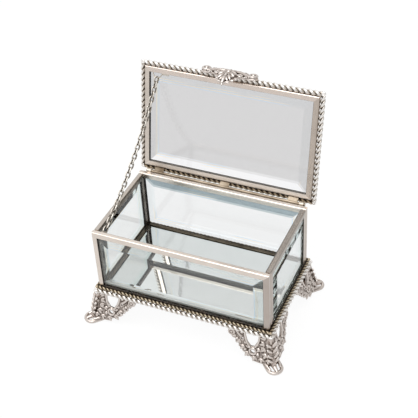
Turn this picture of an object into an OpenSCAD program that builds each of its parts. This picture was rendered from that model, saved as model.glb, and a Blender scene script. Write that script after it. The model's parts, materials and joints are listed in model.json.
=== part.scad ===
// Footed glass casket box: bevelled panes in folded metal channels, a mirrored
// floor, twisted rope trim, four openwork cast feet and a lid that leans back on
// its wire hinge and is checked by a short chain.
// Origin: centre of the open box's outline, on the surface that the feet stand on.
// Front is -Y.

/* [Box] */
// Length of the box's walls, left to right
body_l = 127; // [100:1:180]
// Depth of the box's walls, front to back
body_d = 76; // [64:1:120]
// Height of the box's walls, without the feet
body_h = 50.8; // [42:0.1:80]

/* [Channels] */
// Width of a channel's face beside the glass
face_w = 3.8; // [3.2:0.1:5]
// Thickness of a wall or lid channel, across the glass
channel_t = 4; // [3.8:0.1:5]
// Thickness of the channels' sheet metal
sheet_t = 0.6; // [0.4:0.05:0.7]
// Radius of the channels' outer edges
edge_r = 1.2; // [0.6:0.1:1.3]

/* [Glass] */
// Thickness of a wall or lid pane inside its bevel
glass_t = 3.6; // [3.2:0.1:4.5]
// Width of the bevel along a pane's edges
bevel_w = 10; // [7:0.5:14]
// Clearance between a pane and its channels
glass_gap = 0.05; // [0.02:0.01:0.1]

/* [Mirror floor] */
// Height of the floor frame's top above the walls' lower edge
floor_h = 5.8; // [4.8:0.1:8]
// Thickness of the mirror
mirror_t = 3; // [2:0.1:4]
// Width of the mirror's bevel
mirror_bevel_w = 4; // [3:0.5:6]
// Drop of the mirror's bevel at its edge
mirror_bevel_drop = 0.6; // [0.3:0.1:1]
// Width of the floor frame's face
floor_face_w = 2.4; // [2:0.1:4]
// Thickness of the floor frame's sheet metal
floor_sheet_t = 0.45; // [0.3:0.05:0.6]
// Clearance between the floor frame and the walls
floor_gap = 0.05; // [0.02:0.01:0.2]

/* [Rope trim] */
// Diameter of the lid's and the base's rope
rope_d = 3.6; // [2.8:0.1:4]
// Length of one lobe of the rope, half a turn
rope_lobe = 4; // [3.6:0.1:6]
// Diameter of the fine cord above the base's rope
cord_d = 2.2; // [1.6:0.1:2.6]
// Length of one lobe of the fine cord
cord_lobe = 3; // [2.4:0.1:4]
// Height of the base rope's centre above the walls' lower edge
base_rope_z = -0.5; // [-0.8:0.1:0.4]
// Gap between the rope's ends and the corner beads
bead_gap = 0.05; // [0.02:0.01:0.2]

/* [Feet] */
// Height of the feet, from the standing plane to the walls
foot_h = 26; // [24:0.5:34]
// Length of a foot's wing along a wall
wing_l = 29; // [26:0.5:31]
// Thickness of the cast wings
wing_t = 2.2; // [1.6:0.1:3]
// Outward lean of the wings in degrees
wing_lean = 12; // [6:1:18]
// Distance of the wings' faces behind the walls' faces
wing_inset = 0.4; // [0.2:0.1:1]
// Thickness of the toe's ring
toe_bar_d = 2.6; // [2:0.1:3.4]
// Outer width of the toe's ring
toe_w = 12.4; // [10:0.2:15]
// Outer length of the toe's ring
toe_l = 17; // [15:0.5:22]
// Reach of the toe beyond the wall corner, along the diagonal
toe_reach = 14; // [11:0.5:18]
// Height cut off below the toe so that it stands flat
toe_flat = 0.3; // [0.1:0.1:0.6]

/* [Lid and hinge] */
// Gap between the closed lid and the walls
lid_gap = 0.15; // [0.05:0.05:0.4]
// Opening angle of the lid, where the chain stops it
open_angle = 101; // [95:1:108]
// Diameter of the hinge rod
rod_d = 2.4; // [1.8:0.1:2.6]
// Radial clearance of the hinge rod in its lugs
rod_gap = 0.05; // [0.02:0.01:0.1]
// Distance of the rod's centre behind the back wall
rod_back = 3.1; // [2.8:0.1:3.6]
// Distance of the rod's centre below the walls' top
rod_drop = 2; // [1.8:0.1:2.6]
// Width of a hinge lug
lug_w = 3; // [2:0.5:5]
// Wall of a hinge lug around the rod
lug_wall = 0.8; // [0.5:0.1:0.9]
// Distance of a lug's centre from the wall's end
lug_inset = 5.5; // [4:0.5:12]
// Length of a hinge strap between rod and lid
strap_w = 7; // [4:0.5:12]

/* [Ornament] */
// Distance from the middle to a scroll's centre
scroll_x = 16.6; // [14:0.2:20]
// Radius of the outer scrolls
scroll_r = 3.6; // [3:0.1:4.5]
// Length of the leaf that hangs below the closed lid
leaf_drop = 12.8; // [10:0.2:16]
// Thickness of the ornament's plate
ornament_t = 2; // [1.4:0.1:3]

/* [Chain] */
// Diameter of the chain's wire
link_wire = 0.75; // [0.5:0.05:0.9]
// Width of a chain link
link_w = 3.1; // [2.6:0.1:3.2]
// Clearance between two links' wires
link_gap = 0.08; // [0.05:0.01:0.15]
// Bow of the hanging chain, each way from straight, in degrees
chain_bow = 13; // [8:1:16]
// Diameter of the wire of the two chain eyes
eye_wire = 0.7; // [0.6:0.05:0.7]
// Reach of the front wall's eye from the channel
body_eye_r = 2.3; // [1.8:0.1:2.5]
// Distance of that eye below the walls' top
body_eye_drop = 2.2; // [1.8:0.1:2.6]
// Reach of the lid's eye from the channel
lid_eye_r = 3.4; // [3:0.1:4]
// Lean of the lid's eye away from the glass, in degrees
lid_eye_lean = 25; // [20:1:35]
// Number of links
link_count = 33; // [25:1:41]
// Distance of the chain's lower end from the left wall's face
chain_low_x = 6.9; // [6.6:0.1:10]
// Distance of the chain's upper end from the left wall's face
chain_high_x = 10.3; // [9.9:0.1:14]

/* [Hidden] */
$fn = 32;

metal = [0.78, 0.74, 0.69];
patina = [0.36, 0.31, 0.26];
clear = [0.85, 0.92, 0.92, 0.35];
silvered = [0.80, 0.84, 0.84];

rim_z = foot_h + body_h;
side_l = body_d - 2 * channel_t;
slot_t = channel_t - 2 * sheet_t;
lip_depth = face_w - sheet_t;
pane_inset = sheet_t + glass_gap;
// Thickness of a pane's edge, so that its bevel meets the channel's lip
lip_share = lip_depth / bevel_w;
glass_edge_t = (slot_t - 2 * glass_gap - glass_t * lip_share) / (1 - lip_share);

floor_l = body_l - 2 * channel_t - 2 * floor_gap;
floor_d = side_l - 2 * floor_gap;
floor_slot_t = mirror_t + 2 * glass_gap;
floor_t = floor_slot_t + 2 * floor_sheet_t;
floor_top_z = foot_h + floor_h;

// Sides of the ropes' sections
rope_facets = 8;
cord_facets = 6;

rod_y = body_d / 2 + rod_back;
rod_z = rim_z - rod_drop;
lug_r = rod_d / 2 + rod_gap + lug_wall;
lug_x = body_l / 2 - lug_inset;
rod_l = 2 * lug_x + lug_w + 1.6;

lid_under_z = rim_z + lid_gap;
lid_top_z = lid_under_z + channel_t;
lid_rope_z = lid_under_z + channel_t / 2;

// Chain: plane coordinates are [y, z]
body_eye = [-body_d / 2 + channel_t + body_eye_r, rim_z - body_eye_drop];
lid_eye_z = lid_under_z + sheet_t - eye_wire / 2;
rod_yz = [rod_y, rod_z];
function unit(a) = [cos(a), sin(a)];
function turned(p, a) = [p[0] * cos(a) - p[1] * sin(a), p[0] * sin(a) + p[1] * cos(a)];
lid_eye_closed = [-body_d / 2 + face_w, lid_eye_z] + lid_eye_r * unit(-lid_eye_lean);
lid_eye = rod_yz + turned(lid_eye_closed - rod_yz, -open_angle);
// Direction of link i and its start in pitches, before the chain is turned into place
function link_bow(i) = chain_bow * ((2 * i + 1) / link_count - 1);
function raw_start(i) = i <= 0 ? [0, 0] : raw_start(i - 1) + unit(link_bow(i - 1));
chain_raw = raw_start(link_count);
chain_span = lid_eye - body_eye;
link_pitch = norm(chain_span) / norm(chain_raw);
chain_turn = atan2(chain_span[1], chain_span[0]) - atan2(chain_raw[1], chain_raw[0]);
link_l = link_pitch + link_gap + 2 * link_wire;
solder_l = 5.4;
solder_w = 1.1;
chain_low = -body_l / 2 + chain_low_x;
chain_high = -body_l / 2 + chain_high_x;

ornament_front = body_d / 2 + rope_d + 0.1;
ornament_mid_r = 4.6;
// How far the toes reach in front of the origin and the open lid's ornament behind it,
// with the walls centred, and the walls' place that evens the two out
toe_front = body_d / 2 + (toe_reach - toe_w / 2) / sqrt(2) + toe_w / 2;
lid_back = rod_y + turned([-ornament_front - ornament_t - rod_y, lid_under_z + ornament_mid_r - rod_z],
    -open_angle)[0];
body_y = (toe_front - lid_back) / 2;

// ---- Channels and panes, drawn as an upright panel: x along, z up, y = 0 outside ----

// Cross-section of a folded channel: x across its face, y through its thickness
module channel_section(w, t, sheet, r) {
    difference() {
        union() {
            translate([r, 0]) square([w - r, t]);
            translate([0, r]) square([w, t - 2 * r]);
            translate([r, r]) circle(r);
            translate([r, t - r]) circle(r);
        }
        translate([sheet, sheet]) square([w, t - 2 * sheet]);
    }
}

// A channel along x with mitred ends, its closed edge at z = 0
module channel(l, w, t, sheet, r) {
    intersection() {
        rotate([0, 90, 0]) linear_extrude(l) mirror([1, 0]) channel_section(w, t, sheet, r);
        translate([0, t, 0]) rotate([90, 0, 0]) linear_extrude(t)
            polygon([[0, 0], [l, 0], [l - w, w], [w, w]]);
    }
}

module frame_channel(l) {
    color(metal) channel(l, face_w, channel_t, sheet_t, edge_r);
}

module top_rail(l) {
    at_top(l, body_h) frame_channel(l);
}

module near_post() {
    at_left(body_h) frame_channel(body_h);
}

module far_post(l) {
    at_right(l) frame_channel(body_h);
}

module floor_channel(l) {
    color(patina) channel(l, floor_face_w, floor_t, floor_sheet_t, floor_sheet_t);
}

module floor_long() {
    floor_channel(floor_l);
}

module floor_short() {
    floor_channel(floor_d);
}

module at_top(l, h) {
    translate([l, 0, h]) rotate([0, 180, 0]) children();
}

module at_left(h) {
    translate([0, 0, h]) rotate([0, 90, 0]) children();
}

module at_right(l) {
    translate([l, 0, 0]) rotate([0, -90, 0]) children();
}

// Profile of a bevelled pane: x along, y from its flat back
module pane_profile(l, mid_t, edge_t, bevel) {
    polygon([[0, 0], [l, 0], [l, edge_t], [l - bevel, mid_t], [bevel, mid_t], [0, edge_t]]);
}

// A pane bevelled along all four edges, standing in x and z with its flat back at y = 0
module bevelled_pane(l, h, mid_t, edge_t, bevel) {
    intersection() {
        mirror([0, 1, 0]) linear_extrude(h) pane_profile(l, mid_t, edge_t, bevel);
        rotate([0, 90, 0]) linear_extrude(l) mirror([1, 1]) mirror([0, 1]) rotate(-90)
            pane_profile(h, mid_t, edge_t, bevel);
    }
}

module wall_pane(l, h) {
    color(clear)
        translate([pane_inset, channel_t - sheet_t - glass_gap, pane_inset])
        bevelled_pane(l - 2 * pane_inset, h - 2 * pane_inset, glass_t, glass_edge_t, bevel_w);
}

// ---- Places of the box and its six panels ----

// Moves what is drawn round the walls' middle to its place
module placed() {
    translate([0, body_y, 0]) children();
}

module front_wall() {
    translate([-body_l / 2, -body_d / 2, foot_h]) children();
}

module back_wall() {
    rotate([0, 0, 180]) front_wall() children();
}

module left_wall() {
    translate([-body_l / 2, side_l / 2, foot_h]) rotate([0, 0, -90]) children();
}

module right_wall() {
    rotate([0, 0, 180]) left_wall() children();
}

module floor_panel() {
    translate([-floor_l / 2, -floor_d / 2, floor_top_z]) rotate([-90, 0, 0]) children();
}

module lid_panel() {
    translate([-body_l / 2, -body_d / 2, lid_top_z]) rotate([-90, 0, 0]) children();
}

// Turns what is drawn on the closed lid to the open pose
module opened() {
    translate([0, rod_y, rod_z]) rotate([-open_angle, 0, 0]) translate([0, -rod_y, -rod_z]) children();
}

module floor_frame() {
    placed() floor_panel() children();
}

module lid_frame() {
    placed() opened() lid_panel() children();
}

module floor_mirror() {
    inset = floor_sheet_t + glass_gap;
    l = floor_l - 2 * inset;
    d = floor_d - 2 * inset;
    color(silvered)
        floor_panel()
        translate([inset, floor_sheet_t + glass_gap + mirror_t, inset])
        bevelled_pane(l, d, mirror_t, mirror_t - mirror_bevel_drop, mirror_bevel_w);
}

// ---- Rope trim ----

// Section of two strands laid together, as a radius that swells twice round
function strand_radius(d, a) = d * (0.375 + 0.125 * cos(2 * a));

module rope(l, d, lobe, facets) {
    lobes = round(l / lobe);
    step = 360 / facets;
    section = [for (i = [0:facets - 1]) strand_radius(d, i * step) * unit(i * step)];
    rotate([0, 90, 0])
        linear_extrude(l, center = true, twist = 180 * lobes, slices = lobes * (facets / 2 - 1),
            $fn = facets)
        polygon(section);
}

// Rope along the front of a rectangle l by d, with a bead at each front corner
module rope_front(l, d, z, rope_w, lobe, facets) {
    off = d / 2 + rope_w / 2;
    translate([0, -off, z]) rope(l, rope_w, lobe, facets);
    for (s = [-1, 1])
        translate([s * (l + rope_w) / 2, -off, z]) sphere(rope_w / 2 - bead_gap);
}

module rope_side(l, d, z, rope_w, lobe, facets) {
    translate([-(l + rope_w) / 2, 0, z]) rotate([0, 0, 90]) rope(d, rope_w, lobe, facets);
}

module base_rope_long() {
    color(metal) rope_front(body_l, body_d, foot_h + base_rope_z, rope_d, rope_lobe, rope_facets);
}

module base_rope_short() {
    color(metal) rope_side(body_l, body_d, foot_h + base_rope_z, rope_d, rope_lobe, rope_facets);
}

cord_z = foot_h + base_rope_z + rope_d / 2 + cord_d / 2;

module base_cord_long() {
    color(patina) rope_front(body_l, body_d, cord_z, cord_d, cord_lobe, cord_facets);
}

module base_cord_short() {
    color(patina) rope_side(body_l, body_d, cord_z, cord_d, cord_lobe, cord_facets);
}

module lid_rope_long() {
    color(metal) rope_front(body_l, body_d, lid_rope_z, rope_d, rope_lobe, rope_facets);
}

module lid_rope_short() {
    color(metal) rope_side(body_l, body_d, lid_rope_z, rope_d, rope_lobe, rope_facets);
}

// ---- Feet ----

// Depth of the wings below the walls
wing_h = foot_h - 1.6;
wing_toe = wing_h * tan(wing_lean);

module scroll(r, bar) {
    difference() {
        circle(r);
        circle(r - bar);
    }
}

// Outline of one wing: x away from the corner, y up to 1 above the walls' lower edge,
// where foot() cuts it flat
module wing_outline() {
    k = wing_l / 29;
    h = wing_h / 24.4;
    difference() {
        union() {
            polygon([
                [0, 1], [7 * k, 1], [6.2 * k, -3 * h], [6.6 * k, -8 * h], [9 * k, -12 * h],
                [12 * k, -12.6 * h], [14.8 * k, -9.5 * h], [16.4 * k, -5 * h], [16 * k, 1], [24 * k, 1],
                [25 * k, -3 * h],
                [22.5 * k, -5.5 * h], [20.6 * k, -10 * h], [17.6 * k, -15 * h], [13 * k, -19.6 * h],
                [6 * k, -23.4 * h], [-wing_toe, -wing_h],
            ]);
            translate([26 * k, -4.6]) scroll(3, 1.7);
            translate([21.4 * k, -9.4 * h]) circle(2.1);
            translate([18.2 * k, -14.6 * h]) circle(2.2);
            translate([13.6 * k, -18.8 * h]) circle(2.4);
            translate([8.2 * k, -21.8 * h]) circle(2);
        }
        translate([10.2 * k, -16 * h]) circle(2);
        translate([3.6 * k, -12 * h]) circle(1.5);
        translate([17.8 * k, -8.4 * h]) circle(1);
    }
}

// A wing along the front wall, leaning out below its top edge
module wing() {
    translate([0, wing_inset, 0]) rotate([90 - wing_lean, 0, 0])
        translate([0, 0, -wing_t]) linear_extrude(wing_t) wing_outline();
}

// Closed oval ring of round bar in the xy plane, centred, long along x
module oval_ring(l, w, bar) {
    r = (w - bar) / 2;
    // Rounded to 0.01 so that the bends and the straights meet exactly
    half = round(50 * (l - w)) / 100;
    for (s = [-1, 1]) {
        translate([s * half, 0, 0]) rotate([0, 0, -s * 90])
            rotate_extrude(angle = 180) translate([r, 0]) circle(d = bar);
        translate([0, s * r, 0]) rotate([0, 90, 0]) cylinder(h = 2 * half, d = bar, center = true);
    }
}

module toe() {
    z = toe_bar_d / 2 - toe_flat;
    mid = toe_reach - toe_l / 2;
    difference() {
        translate([mid, 0, z]) {
            oval_ring(toe_l, toe_w, toe_bar_d);
            translate([-toe_l / 2 + toe_bar_d, 0, 0.4]) rotate([0, 90, 0])
                cylinder(h = toe_l * 0.62, d1 = toe_bar_d, d2 = toe_bar_d * 0.7);
        }
        translate([0, 0, -toe_bar_d / 2]) cube([4 * toe_l, 2 * toe_w, toe_bar_d], center = true);
    }
}

// Foot under the front left corner, drawn with that corner at x = y = 0
module foot() {
    spine_h = wing_h - 3;
    spine_lean = atan(wing_toe * sqrt(2) / wing_h);
    color(metal) {
        intersection() {
            union() {
                translate([0, 0, foot_h]) wing();
                mirror([1, -1, 0]) translate([0, 0, foot_h]) wing();
                rotate([0, 0, 225]) translate([wing_toe * sqrt(2) - 1.8, 0, foot_h - wing_h])
                    rotate([0, -spine_lean, 0]) cylinder(h = spine_h, r1 = 3.4, r2 = 2.2);
            }
            translate([-wing_l, -wing_l, 0]) cube([2 * wing_l + 2, 2 * wing_l + 2, foot_h]);
        }
        rotate([0, 0, 225]) toe();
    }
}

module foot_at(sx, sy) {
    mirror([sx > 0 ? 1 : 0, 0, 0]) mirror([0, sy > 0 ? 1 : 0, 0])
        translate([-body_l / 2, -body_d / 2, 0]) foot();
}

// ---- Hinge ----

module hinge_lug(x) {
    base_h = 2 * lug_r;
    color(metal) translate([x - lug_w / 2, 0, 0])
        difference() {
            union() {
                translate([0, rod_y, rod_z]) rotate([0, 90, 0]) cylinder(h = lug_w, r = lug_r);
                translate([0, body_d / 2, rod_z - base_h / 2]) cube([lug_w, rod_back, base_h * 0.62]);
            }
            translate([-1, rod_y, rod_z]) rotate([0, 90, 0])
                cylinder(h = lug_w + 2, r = rod_d / 2 + rod_gap);
        }
}

// One strap from the rod to the lid's back rail, passing inside the rope
module hinge_strap() {
    back = body_d / 2;
    seat = lid_under_z + edge_r;
    rotate([90, 0, 90]) linear_extrude(strap_w, center = true)
        polygon([
            [back, seat], [back, seat + 0.3], [back + 1, seat - 0.85],
            [rod_y - 0.2, rod_z + rod_d / 2], [rod_y - rod_d / 2, rod_z], [back + 0.2, seat - 0.8],
        ]);
}

module hinge_rod() {
    color(metal) opened() {
        translate([0, rod_y, rod_z]) rotate([0, 90, 0]) cylinder(h = rod_l, d = rod_d, center = true);
        for (s = [-1, 0, 1])
            translate([s * (lug_x - lug_w / 2 - strap_w / 2 - 2), 0, 0]) hinge_strap();
    }
}

// ---- Ornament on the closed lid's front edge ----

module ornament_outline() {
    for (s = [-1, 1]) {
        translate([s * scroll_x, -0.6]) scroll(scroll_r, 1.9);
        translate([s * scroll_x * 0.54, 0.8]) circle(2.5);
        polygon([
            [s * 2, 3], [s * scroll_x * 0.62, 2], [s * scroll_x, -1.2], [s * scroll_x, -3.8],
            [s * scroll_x * 0.6, -2.4], [s * 2, -4],
        ]);
    }
    circle(ornament_mid_r);
}

// Leaf that hangs over the front wall, with lobes down both sides
module leaf_outline() {
    polygon([[-6, 0], [6, 0], [5, -5.5], [2.6, -9], [0, -leaf_drop], [-2.6, -9], [-5, -5.5]]);
    for (s = [-1, 1]) {
        translate([s * 5.2, -2.6]) circle(2.2);
        translate([s * 3.9, -6.4]) circle(1.9);
    }
}

module lid_ornament() {
    lean = 15;
    color(metal) opened() {
        translate([0, -ornament_front, lid_under_z]) rotate([90, 0, 0])
            linear_extrude(ornament_t) ornament_outline();
        translate([0, -ornament_front - ornament_t * 0.4, lid_under_z - 0.5]) rotate([90 - lean, 0, 0])
            mirror([0, 0, 1]) translate([0, 0, -ornament_t]) linear_extrude(ornament_t) leaf_outline();
        translate([0, -ornament_front - ornament_t + 1, lid_under_z]) sphere(2.4);
    }
}

// ---- Chain and its eyes ----

// Half ring of wire that stands out of the face y = 0 along +y, leant and cut flush with it
module eye(r, lean) {
    more = 10;
    intersection() {
        rotate([-lean, 0, 0]) rotate([0, 0, -more]) rotate_extrude(angle = 180 + 2 * more)
            translate([r, 0]) circle(d = eye_wire);
        translate([-2 * r, 0, -2 * r]) cube(4 * r);
    }
}

module body_chain_eye() {
    color(metal) translate([chain_low, -body_d / 2 + channel_t, body_eye[1]]) eye(body_eye_r, 0);
}

module lid_chain_eye() {
    color(metal) opened() translate([chain_high, -body_d / 2 + face_w, lid_eye_z]) {
        eye(lid_eye_r, lid_eye_lean);
        // The drop of solder that holds the eye, run along the lip
        translate([lid_eye_r - eye_wire / 2, 0, eye_wire / 2 - sheet_t]) cube([solder_l, solder_w, sheet_t]);
    }
}

// A link between two pivots, longer where it goes round an eye
module link(before, after) {
    translate([(after - before) / 2, 0, 0]) oval_ring(link_l + before + after, link_w, link_wire);
}

// Links rolled a quarter turn from one to the next, along a shallow bow
module stay_chain() {
    eye_extra = (eye_wire + link_gap) / 2;
    color(metal)
        for (i = [0:link_count - 1]) {
            lean = link_bow(i) + chain_turn;
            middle = body_eye + link_pitch * (turned(raw_start(i), chain_turn) + unit(lean) / 2);
            x = chain_low + (chain_high - chain_low) * (i + 0.5) / link_count;
            translate([x, middle[0], middle[1]]) rotate([lean, 0, 0]) rotate([0, 0, 90])
                rotate([45 + 90 * (i % 2), 0, 0])
                link(i == 0 ? eye_extra : 0, i == link_count - 1 ? eye_extra : 0);
        }
}

// ---- Nodes ----

placed() front_wall() top_rail(body_l);  // front_top_rail
placed() front_wall() frame_channel(body_l);  // front_bottom_rail
placed() front_wall() near_post();  // front_left_post
placed() front_wall() far_post(body_l);  // front_right_post
placed() front_wall() wall_pane(body_l, body_h);  // front_pane
placed() back_wall() top_rail(body_l);  // back_top_rail
placed() back_wall() frame_channel(body_l);  // back_bottom_rail
placed() back_wall() near_post();  // back_right_post
placed() back_wall() far_post(body_l);  // back_left_post
placed() back_wall() wall_pane(body_l, body_h);  // back_pane
placed() left_wall() top_rail(side_l);  // left_top_rail
placed() left_wall() frame_channel(side_l);  // left_bottom_rail
placed() left_wall() near_post();  // left_back_post
placed() left_wall() far_post(side_l);  // left_front_post
placed() left_wall() wall_pane(side_l, body_h);  // left_pane
placed() right_wall() top_rail(side_l);  // right_top_rail
placed() right_wall() frame_channel(side_l);  // right_bottom_rail
placed() right_wall() near_post();  // right_front_post
placed() right_wall() far_post(side_l);  // right_back_post
placed() right_wall() wall_pane(side_l, body_h);  // right_pane
floor_frame() floor_long();  // floor_front_rail
floor_frame() at_top(floor_l, floor_d) floor_long();  // floor_back_rail
floor_frame() at_left(floor_d) floor_short();  // floor_left_rail
floor_frame() at_right(floor_l) floor_short();  // floor_right_rail
placed() floor_mirror();
placed() base_rope_long();  // base_rope_front
placed() rotate([0, 0, 180]) base_rope_long();  // base_rope_back
placed() base_rope_short();  // base_rope_left
placed() rotate([0, 0, 180]) base_rope_short();  // base_rope_right
placed() base_cord_long();  // base_cord_front
placed() rotate([0, 0, 180]) base_cord_long();  // base_cord_back
placed() base_cord_short();  // base_cord_left
placed() rotate([0, 0, 180]) base_cord_short();  // base_cord_right
placed() foot_at(-1, -1);  // foot_front_left
placed() foot_at(1, -1);  // foot_front_right
placed() foot_at(-1, 1);  // foot_back_left
placed() foot_at(1, 1);  // foot_back_right
placed() hinge_lug(-lug_x);  // hinge_lug_left
placed() hinge_lug(lug_x);  // hinge_lug_right
placed() body_chain_eye();
lid_frame() frame_channel(body_l);  // lid_front_rail
lid_frame() at_top(body_l, body_d) frame_channel(body_l);  // lid_back_rail
lid_frame() at_left(body_d) frame_channel(body_d);  // lid_left_rail
lid_frame() at_right(body_l) frame_channel(body_d);  // lid_right_rail
lid_frame() wall_pane(body_l, body_d);  // lid_pane
placed() opened() lid_rope_long();  // lid_rope_front
placed() opened() rotate([0, 0, 180]) lid_rope_long();  // lid_rope_back
placed() opened() lid_rope_short();  // lid_rope_left
placed() opened() rotate([0, 0, 180]) lid_rope_short();  // lid_rope_right
placed() lid_ornament();
placed() hinge_rod();
placed() lid_chain_eye();
placed() stay_chain();
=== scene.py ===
import json
import math

import bmesh
import bpy
import numpy as np
from mathutils import Matrix, Vector


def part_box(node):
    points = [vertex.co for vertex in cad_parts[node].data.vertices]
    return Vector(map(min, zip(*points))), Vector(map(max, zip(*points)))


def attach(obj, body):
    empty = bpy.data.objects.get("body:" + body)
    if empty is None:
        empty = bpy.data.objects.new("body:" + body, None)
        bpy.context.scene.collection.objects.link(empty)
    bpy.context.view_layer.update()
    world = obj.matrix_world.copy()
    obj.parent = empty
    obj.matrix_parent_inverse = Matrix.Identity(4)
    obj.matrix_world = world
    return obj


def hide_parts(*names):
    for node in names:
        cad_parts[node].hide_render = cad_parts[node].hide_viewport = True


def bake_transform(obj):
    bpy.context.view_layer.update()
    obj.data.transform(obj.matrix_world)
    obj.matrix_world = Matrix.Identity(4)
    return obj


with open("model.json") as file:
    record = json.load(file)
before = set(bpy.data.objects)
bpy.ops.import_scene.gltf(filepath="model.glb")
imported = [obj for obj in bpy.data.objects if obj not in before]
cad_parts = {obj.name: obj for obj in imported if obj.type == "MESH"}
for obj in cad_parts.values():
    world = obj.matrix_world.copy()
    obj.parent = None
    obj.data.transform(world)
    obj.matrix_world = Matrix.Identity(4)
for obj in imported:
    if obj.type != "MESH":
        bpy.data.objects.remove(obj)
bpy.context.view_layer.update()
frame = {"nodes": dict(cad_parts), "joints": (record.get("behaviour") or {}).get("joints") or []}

# ---- Sizes, in metres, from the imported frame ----

MM = 0.001
NODES = frame["nodes"]
JOINTS = {joint["name"]: joint for joint in frame["joints"]}
HINGE = Vector(JOINTS["lid_hinge"]["pos_m"])
OPEN_ANGLE = math.radians(JOINTS["lid_hinge"]["range_deg"][1])

WALL_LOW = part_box("front_bottom_rail")[0]
WALL_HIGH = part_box("back_top_rail")[1]
LENGTH = WALL_HIGH.x - WALL_LOW.x
DEPTH = WALL_HIGH.y - WALL_LOW.y
CENTRE_Y = (WALL_HIGH.y + WALL_LOW.y) / 2
FOOT_HEIGHT = WALL_LOW.z
RIM = WALL_HIGH.z
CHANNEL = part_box("front_top_rail")[1].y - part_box("front_top_rail")[0].y

BASE_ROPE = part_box("base_rope_left")
ROPE_D = BASE_ROPE[1].z - BASE_ROPE[0].z
ROPE_Z = (BASE_ROPE[1].z + BASE_ROPE[0].z) / 2
BASE_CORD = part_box("base_cord_left")
CORD_D = BASE_CORD[1].z - BASE_CORD[0].z
CORD_Z = (BASE_CORD[1].z + BASE_CORD[0].z) / 2
# A channel's face, and the sheet it is folded from
FACE, SHEET = 3.8 * MM, 0.6 * MM
LID_GAP = 0.15 * MM
LID_UNDER = RIM + LID_GAP
LID_ROPE_Z = LID_UNDER + CHANNEL / 2

# From the walls' middle to their place, and from the closed lid to the open one
PLACED = Matrix.Translation((0, CENTRE_Y, 0))
OPENED = (
    Matrix.Translation(HINGE)
    @ Matrix.Rotation(-OPEN_ANGLE, 4, "X")
    @ Matrix.Translation(-HINGE)
    @ PLACED
)

# ---- Camera ----

AZIMUTH, ELEVATION, ROLL = (math.radians(a) for a in (25.337, 38.464, -3.368))
CAMERA_DISTANCE = 708.35 * MM
AIM_RIGHT, AIM_UP = 3.8 * MM, 43.2 * MM
AIM_HEIGHT = 30.6 * MM
LENS_MM, SENSOR_MM = 86.70, 36


def camera():
    """The camera, turned round an aim point by azimuth, elevation and roll."""
    ahead = Vector((
        -math.sin(AZIMUTH) * math.cos(ELEVATION),
        math.cos(AZIMUTH) * math.cos(ELEVATION),
        -math.sin(ELEVATION),
    ))
    level = ahead.cross(Vector((0, 0, 1))).normalized()
    above = level.cross(ahead)
    right = math.cos(ROLL) * level + math.sin(ROLL) * above
    up = -math.sin(ROLL) * level + math.cos(ROLL) * above
    data = bpy.data.cameras.new("camera")
    data.lens, data.sensor_width = LENS_MM, SENSOR_MM
    data.clip_start, data.clip_end = 0.01, 20
    cam = bpy.data.objects.new("camera", data)
    turn = Matrix((right, up, -ahead)).transposed().to_4x4()
    place = right * AIM_RIGHT + up * AIM_UP + Vector((0, CENTRE_Y, AIM_HEIGHT)) - ahead * CAMERA_DISTANCE
    cam.matrix_world = Matrix.Translation(place) @ turn
    bpy.context.scene.collection.objects.link(cam)
    bpy.context.scene.camera = cam


# ---- Node trees ----


class Wire:
    """An output socket. Arithmetic on it adds Math nodes to its tree."""

    def __init__(self, tree, node, socket):
        self.tree, self.node, self.socket = tree, node, socket

    def out(self, name):
        return Wire(self.tree, self.node, self.node.outputs[name])

    def __add__(self, other):
        return self.tree.math("ADD", self, other)

    def __sub__(self, other):
        return self.tree.math("SUBTRACT", self, other)

    def __rsub__(self, other):
        return self.tree.math("SUBTRACT", other, self)

    def __mul__(self, other):
        return self.tree.math("MULTIPLY", self, other)

    def __truediv__(self, other):
        return self.tree.math("DIVIDE", self, other)

    __radd__ = __add__
    __rmul__ = __mul__


class Tree:
    """Adds nodes to a node tree: settings first, then the values or links of the sockets."""

    def __init__(self, tree):
        self.nodes, self.links = tree.nodes, tree.links

    def plug(self, socket, value):
        """A link where value is a wire, or else the socket's own value."""
        if isinstance(value, Wire):
            self.links.new(value.socket, socket)
        else:
            socket.default_value = value

    def put(self, kind, settings, sockets, out=0):
        node = self.nodes.new(kind)
        for name, value in settings.items():
            setattr(node, name, value)
        for name, value in sockets.items():
            self.plug(node.inputs[name], value)
        return Wire(self, node, node.outputs[out])

    def math(self, operation, *values):
        return self.put("ShaderNodeMath", {"operation": operation}, dict(enumerate(values)))

    def clamp(self, value):
        node = self.math("ADD", value, 0.0)
        node.node.use_clamp = True
        return node

    def between(self, value, low, high):
        """0 below low, 1 above high and a straight line between."""
        return self.put("ShaderNodeMapRange", {}, {"Value": value, "From Min": low, "From Max": high})

    def blend(self, share, first, second):
        """A colour between two, by share."""
        node = self.nodes.new("ShaderNodeMix")
        node.data_type = "RGBA"
        # A colour mix has its own factor, two colours and result among the sockets of all types
        for place, value in zip((0, 6, 7), (share, first, second)):
            self.plug(node.inputs[place], value)
        return Wire(self, node, node.outputs[2])

    def mix_shaders(self, share, first, second):
        node = self.nodes.new("ShaderNodeMixShader")
        for socket, wire in zip(node.inputs, (share, first, second)):
            self.plug(socket, wire)
        return Wire(self, node, node.outputs[0])


def rgb(red, green, blue):
    """A colour given as display values from 0 to 255."""
    def linear(value):
        value /= 255
        return value / 12.92 if value <= 0.04045 else ((value + 0.055) / 1.055) ** 2.4
    return (linear(red), linear(green), linear(blue), 1)


# ---- Materials ----

# Noise scales, in patches to a metre
CLOUDS, STREAKS, GRIT, PATINA = 90, 500, 1400, 220
BUMP_DEPTH = 0.0001
# Stretches of the noise that lay its streaks along X, Y or Z
ALONG_X, ALONG_Y, ALONG_Z = (0.05, 1, 1), (1, 0.05, 1), (1, 1, 0.05)
BEVEL = 10 * MM
# The height of one light and one dark painted band inside a bevel
BAND = 4.8 * MM
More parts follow.
